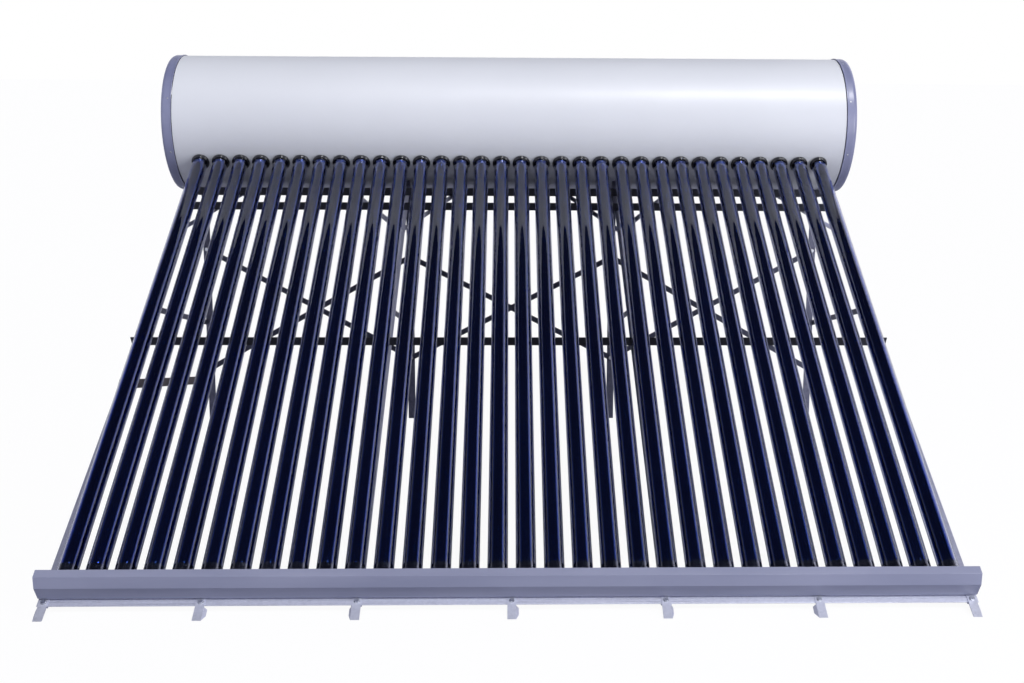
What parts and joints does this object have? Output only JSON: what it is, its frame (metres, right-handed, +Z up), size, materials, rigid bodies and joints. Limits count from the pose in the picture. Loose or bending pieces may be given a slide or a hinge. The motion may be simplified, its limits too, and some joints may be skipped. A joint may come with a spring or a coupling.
{
  "type": "evacuated-tube solar water heater",
  "caption": "Free-standing solar water heater: an insulated horizontal tank fed by a sloping bank of vacuum tubes on a braced angle-steel stand.",
  "frame": {"origin": "on the ground at the centre of the outline of the whole heater", "axes": "+X along the tank, +Y from the tail cover back to the tank, +Z up"},
  "size_m": [2.76, 2.2825, 1.5427],
  "materials": {
    "casing": "satin",
    "cap": "satin",
    "foam": "matte",
    "stainless": "brushed",
    "nipple": "satin",
    "black_rubber": "satin",
    "clear_glass": "polished",
    "absorber": "glossy",
    "spring_steel": "satin",
    "silicone": "satin",
    "black_plastic": "matte",
    "stand_paint": "satin",
    "dark_rail": "satin",
    "tie_strip": "satin",
    "zinc": "bright zinc"
  },
  "bodies": {
    "root": {"tank_shell": "casing", "end_cap_left": "cap", "end_cap_right": "cap", "tank_insulation": "foam", "inner_tank": "stainless", "cold_inlet_nipple": "nipple", "vent_nipple": "nipple", "hot_outlet_nipple": "nipple", "nipple_grommets": "black_rubber", "outer_glass_tubes": "clear_glass", "absorber_tubes": "absorber", "getter_clips": "spring_steel", "tube_seals": "silicone", "dust_rings": "black_rubber", "tail_cups": "black_plastic", "tail_cover": "stand_paint", "tail_rail": "stand_paint", "bottom_rail": "stand_paint", "mid_rail": "dark_rail", "top_rail": "dark_rail", "tank_front_rail": "dark_rail", "tank_rear_rail": "stand_paint", "left_side_tie": "tie_strip", "foot_bolts": "zinc", "stand_bolts": "zinc", "front_leg_1": "stand_paint", "rear_leg_1": "stand_paint", "tank_cradle_1": "stand_paint", "side_strut_1": "stand_paint", "front_leg_2": "stand_paint", "rear_leg_2": "stand_paint", "tank_cradle_2": "stand_paint", "side_strut_2": "stand_paint", "front_leg_3": "stand_paint", "rear_leg_3": "stand_paint", "tank_cradle_3": "stand_paint", "side_strut_3": "stand_paint", "front_leg_4": "stand_paint", "rear_leg_4": "stand_paint", "tank_cradle_4": "stand_paint", "side_strut_4": "stand_paint", "front_foot_1": "stand_paint", "front_foot_2": "stand_paint", "front_foot_3": "stand_paint", "front_foot_4": "stand_paint", "front_foot_5": "stand_paint", "front_foot_6": "stand_paint", "front_foot_7": "stand_paint", "knee_brace_1": "stand_paint", "knee_brace_2": "stand_paint", "knee_brace_3": "stand_paint", "knee_brace_4": "stand_paint", "knee_brace_5": "stand_paint", "knee_brace_6": "stand_paint", "cross_brace_1a": "stand_paint", "cross_brace_1b": "stand_paint", "cross_brace_2a": "stand_paint", "cross_brace_2b": "stand_paint", "cross_brace_3a": "stand_paint", "cross_brace_3b": "stand_paint"}
  },
  "joints": []
}
